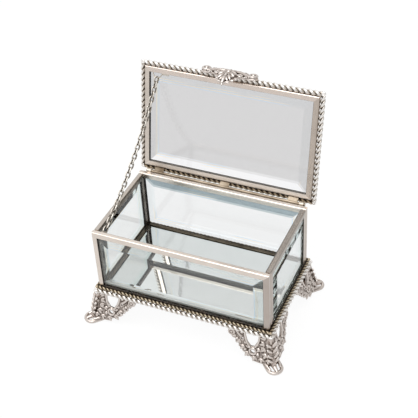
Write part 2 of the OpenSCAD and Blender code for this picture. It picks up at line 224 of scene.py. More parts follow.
# Painted glints of split light by a bevel's ridge: how far out from it each begins, and its colour
FRINGES = ((1.9 * MM, (1.0, 0.8, 0.5, 1)), (1.0 * MM, (0.5, 0.72, 1.0, 1)))
FRINGE_WIDTH, FRINGE_SOFT = 0.8 * MM, 0.3 * MM
GLASS_IOR = 1.5
# The tint of what passes straight through the glass, into the shadows and in the bands
CLEAR_TINT = (0.86, 0.9, 0.89, 1)


def new_material(name):
    material = bpy.data.materials.new(name)
    material.use_nodes = True
    material.node_tree.nodes.clear()
    return material, Tree(material.node_tree)


def surface(tree, shader):
    """Ends a material's tree in its shader."""
    output = tree.nodes.new("ShaderNodeOutputMaterial")
    tree.links.new(shader.socket, output.inputs["Surface"])


def object_place(tree):
    """A point's Object coordinates."""
    return tree.put("ShaderNodeTexCoord", {}, {}, "Object")


def object_noise(tree, scale, detail, stretch=(1, 1, 1)):
    """Noise on Object coordinates, as a number round 0.5."""
    mapped = tree.put("ShaderNodeMapping", {}, {"Vector": object_place(tree), "Scale": stretch})
    return tree.put("ShaderNodeTexNoise", {}, {"Vector": mapped, "Scale": scale, "Detail": detail})


def inner_side(tree):
    """1 on the faces of the walls' channels that look into the box, 0 on all others."""
    across = tree.put("ShaderNodeVectorMath", {"operation": "SUBTRACT"}, {
        0: object_place(tree), 1: (0, CENTRE_Y, 0),
    })
    level = tree.put("ShaderNodeVectorMath", {"operation": "MULTIPLY"}, {0: across, 1: (-1, -1, 0)})
    inwards = tree.put("ShaderNodeVectorMath", {"operation": "NORMALIZE"}, {0: level})
    facing = tree.put("ShaderNodeVectorMath", {"operation": "DOT_PRODUCT"}, {
        0: inwards, 1: tree.put("ShaderNodeNewGeometry", {}, {}, "Normal"),
    }, "Value")
    return tree.between(facing, 0.25, 0.5)


def plated_metal(name, colour, shade, roughness, grain, tarnish=0.35, painted_inside=None, metallic=1.0):
    """Sheet metal with a thin plating: faint streaks, cloudy tarnish and fine scratches.

    Where the inside colour is given, it is painted on the faces that look into the box: painted shade on
    most channels, and nearly the plating's own colour on the top rails.
    """
    material, tree = new_material(name)
    clouds = tree.between(object_noise(tree, CLOUDS, 4), 0.42, 0.75)
    streaks = object_noise(tree, STREAKS, 2, grain)
    tone = tree.blend(clouds * tarnish, rgb(*colour), rgb(*shade))
    rough = roughness + (streaks - 0.5) * 0.08 + clouds * 0.06
    # Painted shade on the faces that look into the box
    if painted_inside:
        tone = tree.blend(inner_side(tree) * (0.75 + clouds * 0.2), tone, rgb(*painted_inside))
    bump = tree.put("ShaderNodeBump", {}, {"Strength": 0.04, "Distance": BUMP_DEPTH, "Height": streaks})
    shader = tree.put("ShaderNodeBsdfPrincipled", {}, {
        "Base Color": tone, "Metallic": metallic, "Roughness": rough, "Normal": bump,
    })
    surface(tree, shader)
    return material


def antique_metal(name, crest, body, recess, roughness, low, high):
    """Plating with dark patina kept in its recesses, by the mesh's relief attribute.

    The patina is whole where the relief is below low, and gone where it is above high.
    """
    material, tree = new_material(name)
    relief = tree.put("ShaderNodeAttribute", {"attribute_name": "relief"}, {}, "Fac")
    grit = object_noise(tree, GRIT, 4)
    clouds = object_noise(tree, PATINA, 3)
    height = relief + (grit - 0.5) * 0.35 + (clouds - 0.5) * 0.25
    worn = tree.between(height, low, high)
    lit = tree.between(height, high * 0.6, 1.0)
    tone = tree.blend(lit, tree.blend(worn, rgb(*recess), rgb(*body)), rgb(*crest))
    rough = roughness + (1 - worn) * 0.28 + (grit - 0.5) * 0.1
    bump = tree.put("ShaderNodeBump", {}, {"Strength": 0.25, "Distance": BUMP_DEPTH, "Height": grit})
    shader = tree.put("ShaderNodeBsdfPrincipled", {}, {
        "Base Color": tone, "Metallic": 0.55 + worn * 0.45, "Roughness": rough, "Normal": bump,
    })
    surface(tree, shader)
    return material


def facets(tree, pane):
    """1 on a pane's low bevel and on its high bevel, the way in from its edges, and the height."""
    least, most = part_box(pane)
    place = tree.put("ShaderNodeSeparateXYZ", {}, {"Vector": object_place(tree)})
    axis = 0 if most.x - least.x > most.y - least.y else 1
    along, height = place.out("XY"[axis]), place.out("Z")
    side = tree.math("MINIMUM", along - least[axis], most[axis] - along)
    below, above = height - least.z, most.z - height
    low = tree.math("GREATER_THAN", tree.math("MINIMUM", side, above), below)
    high = tree.math("GREATER_THAN", tree.math("MINIMUM", side, below), above)
    edge = tree.math("MINIMUM", side, tree.math("MINIMUM", below, above))
    return low, high, edge, height


def clear_glass(name, pane, middle, sides, low, high, bands=0.0):
    """Polished plate glass with its side, low and high bevels tinted apart from its middle, as painted
    reflection of what each bevel shows.

    Where bands is above 0, the bevels are clearer in level bands, by that share: painted stripes of what
    the bevels refract.
    """
    material, tree = new_material(name)
    smear = tree.between(object_noise(tree, 35, 2), 0.5, 0.8)
    on_low, on_high, edge, height = facets(tree, pane)
    flat = tree.between(edge, BEVEL - 0.3 * MM, BEVEL + 0.1 * MM)
    bevels = tree.blend(on_high, tree.blend(on_low, sides, low), high)
    tone = tree.blend(flat, bevels, middle)
    # The painted glints come and go along the ridge
    spots = tree.between(object_noise(tree, 34, 1), 0.5, 0.6) * 0.85
    for start, colour in FRINGES:
        inner, outer = BEVEL - start, BEVEL - start + FRINGE_WIDTH
        rising = tree.between(edge, inner, inner + FRINGE_SOFT)
        falling = tree.between(edge, outer - FRINGE_SOFT, outer)
        tone = tree.blend(rising * (1 - falling) * spots, tone, colour)
    glass = tree.put("ShaderNodeBsdfPrincipled", {}, {
        "Base Color": tone, "Roughness": smear * 0.03, "IOR": GLASS_IOR, "Transmission Weight": 1.0,
    })
    passing = tree.put("ShaderNodeBsdfTransparent", {}, {"Color": CLEAR_TINT})
    share = tree.put("ShaderNodeLightPath", {}, {}, "Is Shadow Ray")
    # Painted refraction: the bevels let more through in level stripes
    if bands:
        wave = tree.clamp(tree.math("SINE", height * (2 * math.pi / BAND)) * 1.4 + 0.5)
        share = tree.math("MAXIMUM", share, (1 - flat) * (0.45 + wave * 0.5) * bands)
    surface(tree, tree.mix_shaders(share, glass, passing))
    return material


def mirror_glass(name):
    """Silvered glass with a little haze."""
    material, tree = new_material(name)
    haze = tree.between(object_noise(tree, 60, 3), 0.45, 0.8)
    tone = tree.blend(haze * 0.3, rgb(226, 230, 229), rgb(210, 215, 213))
    shader = tree.put("ShaderNodeBsdfPrincipled", {}, {
        "Base Color": tone, "Metallic": 1.0, "Roughness": 0.015 + haze * 0.03,
    })
    surface(tree, shader)
    return material


def painted_shadow_bead(name):
    """Dark beads that stand in for the shade along the channels' lips: painted shadow, with dull and shiny
    patches.
    """
    material, tree = new_material(name)
    patches = tree.between(object_noise(tree, 160, 3), 0.4, 0.65)
    shader = tree.put("ShaderNodeBsdfPrincipled", {}, {
        "Base Color": tree.blend(patches, rgb(26, 23, 20), rgb(66, 54, 42)),
        "Roughness": 0.35 + patches * 0.25,
    })
    surface(tree, shader)
    return material


# Each finish of plated sheet: colour, its tarnish's colour, roughness and the way of its streaks,
# and then, where they aren't the usual ones, the share of tarnish, the inside's painted shade and metallic.
# The tones differ from side to side and from part to part as painted light and shade. For one even plating,
# all take the values of wall_metal.
SHEET_FINISHES = {
    "wall_metal": ((230, 219, 209), (206, 196, 186), 0.24, ALONG_X, 0.35, (84, 74, 60)),
    "top_metal": ((230, 219, 209), (206, 196, 186), 0.22, ALONG_X, 0.35, (222, 216, 208)),
    "post_metal": ((190, 179, 171), (170, 160, 152), 0.24, ALONG_Z, 0.35, (142, 152, 146)),
    "left_metal": ((200, 191, 182), (176, 168, 159), 0.24, ALONG_Y, 0.35, (70, 62, 50)),
    "right_metal": ((176, 168, 160), (154, 146, 138), 0.24, ALONG_Y, 0.35, (70, 62, 50)),
    "upright_metal": ((206, 196, 187), (182, 173, 164), 0.24, ALONG_Z, 0.35, (70, 62, 50)),
    "floor_metal": ((222, 222, 218), (196, 197, 193), 0.36, ALONG_X, 0.6, None, 0.35),
    "strap_metal": ((168, 154, 136), (92, 76, 58), 0.3, ALONG_Z, 0.9),
    "lid_metal": ((222, 209, 199), (202, 190, 180), 0.24, ALONG_X),
    "lid_side_metal": ((196, 184, 173), (174, 162, 152), 0.24, ALONG_Z),
    "lid_left_metal": ((216, 206, 196), (192, 181, 171), 0.24, ALONG_Z),
    "lid_back_metal": ((238, 228, 218), (216, 204, 192), 0.3, ALONG_X, 0.35, None, 0.6),
    "hinge_metal": ((206, 198, 186), (150, 140, 126), 0.28, ALONG_X, 0.6),
    # Painted shade: the dark copy for the floor rails at the back and left; floor_metal is their lighter
    # copy
    "floor_shaded_metal": ((104, 95, 82), (46, 39, 31), 0.3, ALONG_X, 0.7),
}

# Each finish of rope, chain and casting: its crests, body and recesses, its roughness,
# and the relief between which the patina goes
ANTIQUE_FINISHES = {
    "rope_metal": ((252, 249, 246), (204, 195, 184), (70, 55, 41), 0.2, -1.5, -0.6),
    "cord_metal": ((206, 191, 166), (126, 108, 84), (38, 30, 21), 0.3, -0.8, 0.3),
    "shaded_rope_metal": ((232, 220, 202), (162, 142, 117), (54, 41, 28), 0.26, -0.9, 0.2),
    "cast_metal": ((250, 244, 239), (198, 186, 178), (62, 49, 38), 0.22, -0.62, 0.1),
    "chain_metal": ((240, 235, 227), (172, 162, 148), (54, 46, 36), 0.22, -0.6, 0.5),
}

# The tint of each pane's middle and of its side, low and high bevels, and its share of bands. The bevels'
# tints and bands are painted reflection and refraction; the middles differ from pane to pane as painted
# shade
GLASS_TINTS = {
    "front": ((0.955, 0.962, 0.955), (0.82, 0.86, 0.85), (0.9, 0.92, 0.92), (0.9, 0.925, 0.92)),
    "back": ((0.88, 0.886, 0.89), (0.83, 0.86, 0.87), (0.87, 0.89, 0.9), (0.3, 0.37, 0.4)),
    "left": ((0.85, 0.86, 0.856), (0.7, 0.77, 0.76), (0.8, 0.86, 0.85), (0.72, 0.79, 0.78)),
    "right": ((0.94, 0.955, 0.95), (0.72, 0.8, 0.79), (0.84, 0.89, 0.88), (0.9, 0.93, 0.925), 1.0),
    "lid": ((0.655, 0.65, 0.655), (0.6, 0.6, 0.605), (0.9, 0.9, 0.91), (0.61, 0.615, 0.625)),
}


def materials():
    """Every material by its name."""
    made = {name: plated_metal(name, *values) for name, values in SHEET_FINISHES.items()}
    made |= {name: antique_metal(name, *values) for name, values in ANTIQUE_FINISHES.items()}
    for side, (middle, sides, low, high, *bands) in GLASS_TINTS.items():
        tints = [(*tint, 1) for tint in (middle, sides, low, high)]
        made[side + "_glass"] = clear_glass(side + "_glass", side + "_pane", *tints, *bands)
    made["painted_shadow_bead"] = painted_shadow_bead("painted_shadow_bead")
    made["mirror"] = mirror_glass("mirror")
    return made


# ---- Meshes ----


def circle_points(x, y, radius, count=16):
    """Points round a circle."""
    turns = [2 * math.pi * i / count for i in range(count)]
    return [(x + radius * math.cos(turn), y + radius * math.sin(turn)) for turn in turns]


def add_object(name, data):
    """An object for a mesh, curve or lamp, at the origin."""
    thing = bpy.data.objects.new(name, data)
    bpy.context.scene.collection.objects.link(thing)
    return thing


def plain_mesh(name, shape):
    """A mesh from a bmesh, which is freed."""
    mesh = bpy.data.meshes.new(name)
    shape.to_mesh(mesh)
    shape.free()
    return mesh


def baked(thing, name):
    """A plain mesh object made from what the object's modifiers give."""
    bpy.context.view_layer.update()
    graph = bpy.context.evaluated_depsgraph_get()
    mesh = bpy.data.meshes.new_from_object(thing.evaluated_get(graph))
    mesh.name = name
    bpy.data.objects.remove(thing)
    return add_object(name, mesh)


def finish_piece(thing, body, material, replaced=()):
    """Gives a piece its material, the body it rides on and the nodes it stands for."""
    thing.data.materials.clear()
    thing.data.materials.append(material)
    if body:
        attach(thing, body)
    if replaced:
        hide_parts(*replaced)


def mark_relief(mesh, rounds, scale):
    """Stores how far each point stands out of its smoothed surroundings, over scale."""
    count = len(mesh.vertices)
    points = np.zeros(count * 3)
    mesh.vertices.foreach_get("co", points)
    points = points.reshape(-1, 3)
    edges = np.zeros(len(mesh.edges) * 2, int)
    mesh.edges.foreach_get("vertices", edges)
    one, two = edges.reshape(-1, 2).T
    degree = np.maximum(np.bincount(one, minlength=count) + np.bincount(two, minlength=count), 1)
    smooth = points.copy()
    for _ in range(rounds):
        total = np.zeros_like(smooth)
        for axis in range(3):
            total[:, axis] = np.bincount(one, smooth[two, axis], count)
            total[:, axis] += np.bincount(two, smooth[one, axis], count)
        smooth = 0.3 * smooth + 0.7 * total / degree[:, None]
    normals = np.zeros(count * 3)
    mesh.vertex_normals.foreach_get("vector", normals)
    relief = ((points - smooth) * normals.reshape(-1, 3)).sum(axis=1) / scale
    stored = mesh.attributes.new("relief", "FLOAT", "POINT")
    stored.data.foreach_set("value", np.clip(relief, -1, 1))


def mesh_of(parts):
    """One mesh from parts, each (mesh, matrix); mirrored parts are turned right side out."""
    whole = bmesh.new()
    for mesh, matrix in parts:
        piece = bmesh.new()
        piece.from_mesh(mesh)
        piece.transform(matrix)
        if matrix.determinant() < 0:
            bmesh.ops.reverse_faces(piece, faces=piece.faces)
        placed = plain_mesh("placed", piece)
        whole.from_mesh(placed)
        bpy.data.meshes.remove(placed)
    return plain_mesh("whole", whole)


# ---- Geometry node trees ----


def geometry_tree(name, inputs):
    """A geometry tree with named inputs, each (name, type, value).

    Gives the node group, the tree that adds nodes to it, and a wire for each input.
    """
    group = bpy.data.node_groups.new(name, "GeometryNodeTree")
    for label, kind, value in inputs:
        group.interface.new_socket(label, in_out="INPUT", socket_type=kind).default_value = value
    group.interface.new_socket("Mesh", in_out="OUTPUT", socket_type="NodeSocketGeometry")
    tree = Tree(group)
    entry = group.nodes.new("NodeGroupInput")
    wires = {label: Wire(tree, entry, entry.outputs[label]) for label, _, _ in inputs}
    return group, tree, wires


def close_tree(group, tree, mesh, material):
    """Ends a geometry tree in real, smooth faces with their material."""
    real = tree.put("GeometryNodeRealizeInstances", {}, {"Geometry": mesh})
    smooth = tree.put("GeometryNodeSetShadeSmooth", {}, {"Geometry": real})
    named = tree.put("GeometryNodeSetMaterial", {}, {"Geometry": smooth, "Material": material})
    leave = group.nodes.new("NodeGroupOutput")
    tree.links.new(named.socket, leave.inputs[0])


def with_relief(tree, mesh, value):
    """The mesh with the attribute that antique metals read."""
    return tree.put("GeometryNodeStoreNamedAttribute", {"data_type": "FLOAT", "domain": "POINT"}, {
        "Geometry": mesh, "Name": "relief", "Value": value,
    })


def grown(name, group, values):
    """A plain mesh object made by a geometry tree with its named inputs set."""
    seed = bpy.data.meshes.new(name + "_seed")
    seed.from_pydata([(0, 0, 0)], [], [])
    thing = add_object(name, seed)
    modifier = thing.modifiers.new("grow", "NODES")
    modifier.node_group = group
    sockets = {s.name: s.identifier for s in group.interface.items_tree if s.in_out == "INPUT"}
    for label, value in values.items():
        modifier[sockets[label]] = value
    return baked(thing, name)


STRANDS, RINGS_PER_BEAD = 2, 7


def rope_tree(material):
    """Strands laid round a straight line along X, centred at the origin."""
    group, tree, given = geometry_tree("laid_rope", [
        ("Length", "NodeSocketFloat", 0.1),
        ("Strand Offset", "NodeSocketFloat", 0.001),
        ("Strand Radius", "NodeSocketFloat", 0.001),
        ("Turns", "NodeSocketFloat", 10.0),
        ("Strands", "NodeSocketInt", 2),
        ("Rings", "NodeSocketInt", 200),
        ("Rail Side Painted Shade", "NodeSocketFloat", 1.8),
    ])
    far = tree.put("ShaderNodeCombineXYZ", {}, {"X": given["Length"]})
    line = tree.put("GeometryNodeCurvePrimitiveLine", {}, {"End": far})
    many = tree.put("GeometryNodeDuplicateElements", {"domain": "SPLINE"}, {
        "Geometry": line, "Amount": given["Strands"],
    })
    which = many.out("Duplicate Index")
    rings = tree.put("GeometryNodeResampleCurve", {}, {"Curve": many, "Count": given["Rings"]})
    share = tree.put("GeometryNodeSplineParameter", {}, {}, "Factor")
    turn = (share * given["Turns"] + which / given["Strands"]) * (2 * math.pi)
    round_y = tree.math("COSINE", turn) * given["Strand Offset"]
    round_z = tree.math("SINE", turn) * given["Strand Offset"]
    shift = tree.put("ShaderNodeCombineXYZ", {}, {"X": given["Length"] * -0.5, "Y": round_y, "Z": round_z})
    laid = tree.put("GeometryNodeSetPosition", {}, {"Geometry": rings, "Offset": shift})
    section = tree.put("GeometryNodeCurvePrimitiveCircle", {}, {
        "Resolution": 12, "Radius": given["Strand Radius"],
    })
    tube = tree.put("GeometryNodeCurveToMesh", {}, {
        "Curve": laid, "Profile Curve": section, "Fill Caps": True,
    })
    across = tree.put("ShaderNodeVectorMath", {"operation": "MULTIPLY"}, {
        0: tree.put("GeometryNodeInputPosition", {}, {}), 1: (0, 1, 1),
    })
    reach = tree.put("ShaderNodeVectorMath", {"operation": "LENGTH"}, {0: across}, "Value")
    most = given["Strand Offset"] + given["Strand Radius"]
    apart = tree.put("ShaderNodeSeparateXYZ", {}, {"Vector": across})
    # The side toward the channel is painted darker: painted shade where the rope lies against it
    inner = tree.math("MAXIMUM", apart.out("Y") / most + 0.1, 0.0)
    relief = reach / most * 3.4 - 2.4 - inner * given["Rail Side Painted Shade"]
    close_tree(group, tree, with_relief(tree, tube, relief), material)
    return group


def rope_side(tree, node, length, width, lay, place, body, material):
    """A straight rope of two strands in place of a CAD rope, with a bead at every lay."""
    beads = round(length / lay)
    rope = grown(node + "_laid", tree, {
        "Length": length, "Strand Offset": width * 0.24, "Strand Radius": width * 0.26,
        "Turns": beads / STRANDS, "Strands": STRANDS, "Rings": beads * RINGS_PER_BEAD,
    })
    rope.data.transform(place)
    finish_piece(rope, body, material, (node,))


def corner_curls(name, width, height, swing, body, material):
    """The strand's end curled round at each corner of a roped rectangle."""
    curl = bmesh.new()
    count, sides = 20, 10
    big, small = width * 0.25, width * 0.24
    rings = []
    for i in range(count):
        angle = 2 * math.pi * i / count
        rings.append([
            curl.verts.new((reach * math.cos(angle), reach * math.sin(angle), rise))
            for reach, rise in circle_points(big, 0, small, sides)
        ])
    for i in range(count):
        for j in range(sides):
            ring, after = rings[i], rings[(i + 1) % count]
            face = curl.faces.new((ring[j], after[j], after[(j + 1) % sides], ring[(j + 1) % sides]))
            face.smooth = True
    mesh = plain_mesh(name, curl)
    across, along = LENGTH / 2 + width * 0.5, DEPTH / 2 + width * 0.5
    whole = add_object(name, mesh_of([
        (mesh, Matrix.Translation((x, y, height))) for y in (-along, along) for x in (-across, across)
    ]))
    whole.data.transform(swing)
    mark_relief(whole.data, 10, width * 0.06)
    finish_piece(whole, body, material)


def ropes(made):
    """The eight base ropes and cords and the four lid ropes."""
    group = rope_tree(made["rope_metal"])
    for label, width, lay, height, finish, swing, body, slot in (
        ("base_rope", ROPE_D, 3.8 * MM, ROPE_Z, "rope_metal", PLACED, "casket", "rope_metal"),
        ("base_cord", CORD_D, 3.0 * MM, CORD_Z, "cord_metal", PLACED, "casket", "dark_patina"),
        ("lid_rope", ROPE_D, 4.0 * MM, LID_ROPE_Z, "rope_metal", OPENED, "lid", "rope_metal"),
    ):
        for side, length, off, turn in (
            ("front", LENGTH, DEPTH / 2, 0), ("right", DEPTH, LENGTH / 2, 90),
            ("back", LENGTH, DEPTH / 2, 180), ("left", DEPTH, LENGTH / 2, 270),
        ):
            place = (
                swing
                @ Matrix.Rotation(math.radians(turn), 4, "Z")
                @ Matrix.Translation((0, -off - width / 2, height))
            )
            node = f"{label}_{side}"
            # The rope beside the hinge is painted darker: painted shade, where it lies between the lid and
            # the back wall
            metal = made["shaded_rope_metal" if node == "lid_rope_back" else finish]
            rope_side(group, node, length + width * 0.3, width, lay, place, body, metal)
        corner_curls(label + "_curls", width, height, swing, body, made[finish])


# ---- Painted shadow lines along the panes' edges ----


def shadow_bead_tree(material):
    """A closed bead along the edges of a rectangle in x and y, centred at the origin."""
    group, tree, given = geometry_tree("shadow_bead", [
        ("Length", "NodeSocketFloat", 0.12),
        ("Width", "NodeSocketFloat", 0.07),
        ("Radius", "NodeSocketFloat", 0.0003),
    ])
    line = tree.put("GeometryNodeCurvePrimitiveQuadrilateral", {}, {
        "Width": given["Length"], "Height": given["Width"],
    })
    turned = tree.put("GeometryNodeFilletCurve", {"mode": "POLY"}, {
        "Curve": line, "Count": 4, "Radius": given["Radius"] * 2,
    })
    section = tree.put("GeometryNodeCurvePrimitiveCircle", {}, {"Resolution": 8, "Radius": given["Radius"]})
    bead = tree.put("GeometryNodeCurveToMesh", {}, {"Curve": turned, "Profile Curve": section})
    close_tree(group, tree, bead, material)
    return group


# The beads' radii on the walls and on the lid, and how deep they lie from a channel's face
BEAD, LID_BEAD = 0.34 * MM, 0.26 * MM
BEAD_DEPTH = SHEET - 0.14 * MM


def shadow_beads(made):
    """Dark beads between each pane and its channels' lips, outside and inside the box: painted shadow
    lines.
    """
    group = shadow_bead_tree(made["painted_shadow_bead"])
    height = RIM - FOOT_HEIGHT
    upright = Matrix.Rotation(math.pi / 2, 4, "X")
    rows = []
    side_length = DEPTH - 2 * CHANNEL
    for turn, length, off in (
        (0, LENGTH, DEPTH), (180, LENGTH, DEPTH), (90, side_length, LENGTH), (270, side_length, LENGTH),
    ):
        for depth in (BEAD_DEPTH, CHANNEL - BEAD_DEPTH):
            place = (
                PLACED @ Matrix.Rotation(math.radians(turn), 4, "Z")
                @ Matrix.Translation((0, -off / 2 + depth, FOOT_HEIGHT + height / 2)) @ upright
            )
            rows.append(("casket", length, height, place))
    for depth in (BEAD_DEPTH, CHANNEL - BEAD_DEPTH):
        rows.append(("lid", LENGTH, DEPTH, OPENED @ Matrix.Translation((0, 0, LID_UNDER + depth))))
    for body in ("casket", "lid"):
        parts = []
        for owner, length, width, place in rows:
            if owner == body:
                bead = grown("bead", group, {
                    "Length": length - 2 * FACE, "Width": width - 2 * FACE,
                    "Radius": LID_BEAD if body == "lid" else BEAD,
                })
                parts.append((bead.data, place))
                bpy.data.objects.remove(bead)
        finish_piece(add_object(body + "_shadow_beads", mesh_of(parts)), body, made["painted_shadow_bead"])


# ---- Chain ----


LINKS = 33
# The chain's lean out of its chord at either end, in degrees
CHAIN_BOW = 13.0
EYE_WIRE, LINK_GAP = 0.7 * MM, 0.08 * MM
LINK_WIRE, LINK_WIDTH = 1.05 * MM, 3.8 * MM
# How far the eyes are from the left end, how far they reach, and how they drop and lean
LOW_EYE_X, LOW_EYE_REACH, LOW_EYE_DROP = 6.9 * MM, 2.3 * MM, 2.2 * MM
HIGH_EYE_X, HIGH_EYE_REACH, HIGH_EYE_LEAN = 10.3 * MM, 3.4 * MM, math.radians(25)
# The eyes' centres, from the walls' middle and with the lid closed
LOW_EYE = Vector((-LENGTH / 2 + LOW_EYE_X, -DEPTH / 2 + CHANNEL + LOW_EYE_REACH, RIM - LOW_EYE_DROP))
HIGH_EYE = Vector((
    -LENGTH / 2 + HIGH_EYE_X,
    -DEPTH / 2 + FACE + HIGH_EYE_REACH * math.cos(HIGH_EYE_LEAN),
    LID_UNDER + SHEET - EYE_WIRE / 2 - HIGH_EYE_REACH * math.sin(HIGH_EYE_LEAN),
))


def chain_tree(material):
    """Oval links along a shallow bow in y and z, each rolled a quarter turn from the one before."""
    group, tree, given = geometry_tree("chain_links", [
        ("Links", "NodeSocketInt", 33),
        ("Pitch", "NodeSocketFloat", 0.0034),
        ("Bow", "NodeSocketFloat", 0.22),
        ("Turn", "NodeSocketFloat", 0.6),
        ("Start", "NodeSocketVector", (0, 0, 0)),
        ("Drift", "NodeSocketFloat", 0.0),
        ("Link Length", "NodeSocketFloat", 0.005),
        ("Link Width", "NodeSocketFloat", 0.0031),
        ("Wire", "NodeSocketFloat", 0.00075),
    ])
    oblong = tree.put("GeometryNodeCurvePrimitiveQuadrilateral", {}, {
        "Width": given["Link Length"] - given["Wire"], "Height": given["Link Width"] - given["Wire"],
    })
    oval = tree.put("GeometryNodeFilletCurve", {"mode": "POLY"}, {
        "Curve": oblong, "Count": 8, "Radius": (given["Link Width"] - given["Wire"]) * 0.499,
    })
    section = tree.put("GeometryNodeCurvePrimitiveCircle", {}, {
        "Resolution": 10, "Radius": given["Wire"] * 0.5,
    })
    link = tree.put("GeometryNodeCurveToMesh", {}, {"Curve": oval, "Profile Curve": section})
    outward = tree.put("ShaderNodeVectorMath", {"operation": "NORMALIZE"}, {
        0: tree.put("GeometryNodeInputPosition", {}, {}),
    })
    facing = tree.put("ShaderNodeVectorMath", {"operation": "DOT_PRODUCT"}, {
        0: outward, 1: tree.put("GeometryNodeInputNormal", {}, {}),
    }, "Value")
    marked = with_relief(tree, link, facing)
    spots = tree.put("GeometryNodeMeshLine", {}, {"Count": given["Links"]})
    order = tree.put("GeometryNodeInputIndex", {}, {})
    share = (order + 0.5) / given["Links"] * 2 - 1
    lean = share * given["Bow"] + given["Turn"]
    # A bow of evenly turning links is an arc of a circle
    radius = given["Pitch"] * given["Links"] / (given["Bow"] * 2)
    start_lean = given["Turn"] - given["Bow"]
    y = (tree.math("SINE", lean) - tree.math("SINE", start_lean)) * radius
    z = (tree.math("COSINE", start_lean) - tree.math("COSINE", lean)) * radius
    place = tree.put("ShaderNodeVectorMath", {"operation": "ADD"}, {
        0: given["Start"],
        1: tree.put("ShaderNodeCombineXYZ", {}, {
            "X": (order + 0.5) / given["Links"] * given["Drift"], "Y": y, "Z": z,
        }),
    })
    laid = tree.put("GeometryNodeSetPosition", {}, {"Geometry": spots, "Position": place})
    roll = tree.math("MODULO", order, 2.0) * (math.pi / 2) + math.pi / 4

    def spin(axis, angle):
        return tree.put("FunctionNodeAxisAngleToRotation", {}, {"Axis": axis, "Angle": angle})

    # Leant along the chain, turned end on, and rolled about the link's own length
    turn = spin((1, 0, 0), lean)
    for step in (spin((0, 0, 1), math.pi / 2), spin((1, 0, 0), roll)):
        turn = tree.put("FunctionNodeRotateRotation", {"rotation_space": "LOCAL"}, {
            "Rotation": turn, "Rotate By": step,
        })
    placed = tree.put("GeometryNodeInstanceOnPoints", {}, {
        "Points": laid, "Instance": marked, "Rotation": turn,
    })
    close_tree(group, tree, placed, material)
    return group


def chain(made):
    """The stay chain, which bends from the casket to the lid."""
    group = chain_tree(made["chain_metal"])
    start, end = PLACED @ LOW_EYE, OPENED @ HIGH_EYE
    bow = math.radians(CHAIN_BOW)
    span = Vector((end.y - start.y, end.z - start.z))
    # The bow's chord against its length, for links that turn evenly
    pitch = span.length * bow / math.sin(bow) / LINKS
    links = grown("stay_chain_links", group, {
        "Links": LINKS, "Pitch": pitch, "Bow": bow, "Turn": math.atan2(span.y, span.x),
        "Start": start, "Drift": end.x - start.x, "Link Length": pitch + LINK_GAP + 2 * LINK_WIRE,
        "Link Width": LINK_WIDTH, "Wire": LINK_WIRE,
    })
    finish_piece(links, None, made["chain_metal"], ("stay_chain",))
    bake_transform(links)


# ---- Castings: feet and lid ornament ----


def outline_mesh(name, outer, holes, thickness):
    """A plate with rounded edges from outlines in x and y, in mm, its back at z = 0."""
    curve = bpy.data.curves.new(name, "CURVE")
    curve.dimensions = "2D"
    curve.fill_mode = "BOTH"
    curve.extrude = thickness / 2 - EDGE_ROUND
    curve.bevel_depth = EDGE_ROUND
    curve.bevel_resolution = 2
    curve.offset = -EDGE_ROUND
    for points in [outer] + holes:
        spline = curve.splines.new("POLY")
        spline.points.add(len(points) - 1)
        for point, (x, y) in zip(spline.points, points):
            point.co = (x * MM, y * MM, 0, 1)
        spline.use_cyclic_u = True
    plate = baked(add_object(name, curve), name)
    plate.data.transform(Matrix.Translation((0, 0, thickness / 2)))
    return plate


def strand(name, points, closed=False, steps=6):
    """A round-sectioned scroll through points, each (x, y, z, radius)."""
    curve = bpy.data.curves.new(name, "CURVE")
    curve.dimensions = "3D"
    curve.bevel_depth = 1.0
    curve.bevel_resolution = 3
    curve.use_fill_caps = True
    spline = curve.splines.new("NURBS")
    spline.points.add(len(points) - 1)
    for point, (x, y, z, radius) in zip(spline.points, points):
        point.co = (x, y, z, 1)
        point.radius = radius
    spline.use_cyclic_u = closed
    spline.use_endpoint_u = not closed
    spline.order_u = 4
    spline.resolution_u = steps
    return baked(add_object(name, curve), name)


def boss(x, y, level, radius, flat=1.0):
    """A round boss at a point, in mm, flattened along z."""
    shape = bmesh.new()
    bmesh.ops.create_uvsphere(shape, u_segments=14, v_segments=8, radius=radius * MM)
    bmesh.ops.scale(shape, vec=(1, 1, flat), verts=shape.verts)
    bmesh.ops.translate(shape, vec=(x * MM, y * MM, level * MM), verts=shape.verts)
    return add_object("boss", plain_mesh("boss", shape))


def cast(name, parts, voxel, relief_scale):
    """Parts fused to one smooth skin, as a casting is."""
    whole = add_object(name, mesh_of([(part.data, Matrix.Identity(4)) for part in parts]))
    for part in parts:
        bpy.data.objects.remove(part)
    fuse = whole.modifiers.new("fuse", "REMESH")
    fuse.mode = "VOXEL"
    fuse.voxel_size = voxel
    fuse.use_smooth_shade = True
    soften = whole.modifiers.new("soften", "SMOOTH")
    soften.factor = 0.5
    soften.iterations = 2
    skin = baked(whole, name)
    mark_relief(skin.data, RELIEF_ROUNDS, relief_scale)
    return skin


def lobe(x, y, level, angle, length, width):
    """A leaf lobe from a point in x and y, full in the middle and pointed at its tip."""
    way = math.radians(angle)
    points = []
    # The share of the length, and the radius there as a share of the width
    for share, full in ((0, 0.26), (0.3, 0.5), (0.62, 0.44), (1, 0.12)):
        out_x, out_y = length * share * math.cos(way), length * share * math.sin(way)
        points.append((x + out_x, y + out_y, level - 0.12 * length * share * share, width * full))
    return strand("lobe", [tuple(v * MM for v in point) for point in points], steps=4)


def leaf(x, y, angle, size, level):
    """Three pointed lobes spread from one point, in mm."""
    return [
        lobe(x, y, level, angle, size, size * 0.62),
        lobe(x, y, level - 0.2, angle + 48, size * 0.74, size * 0.5),
        lobe(x, y, level - 0.2, angle - 48, size * 0.74, size * 0.5),
    ]


def rib(points, level, closed=False):
    """A raised line through points, each (x, y, radius), in mm."""
    return strand("rib", [(x * MM, y * MM, level * MM, r * MM) for x, y, r in points], closed)


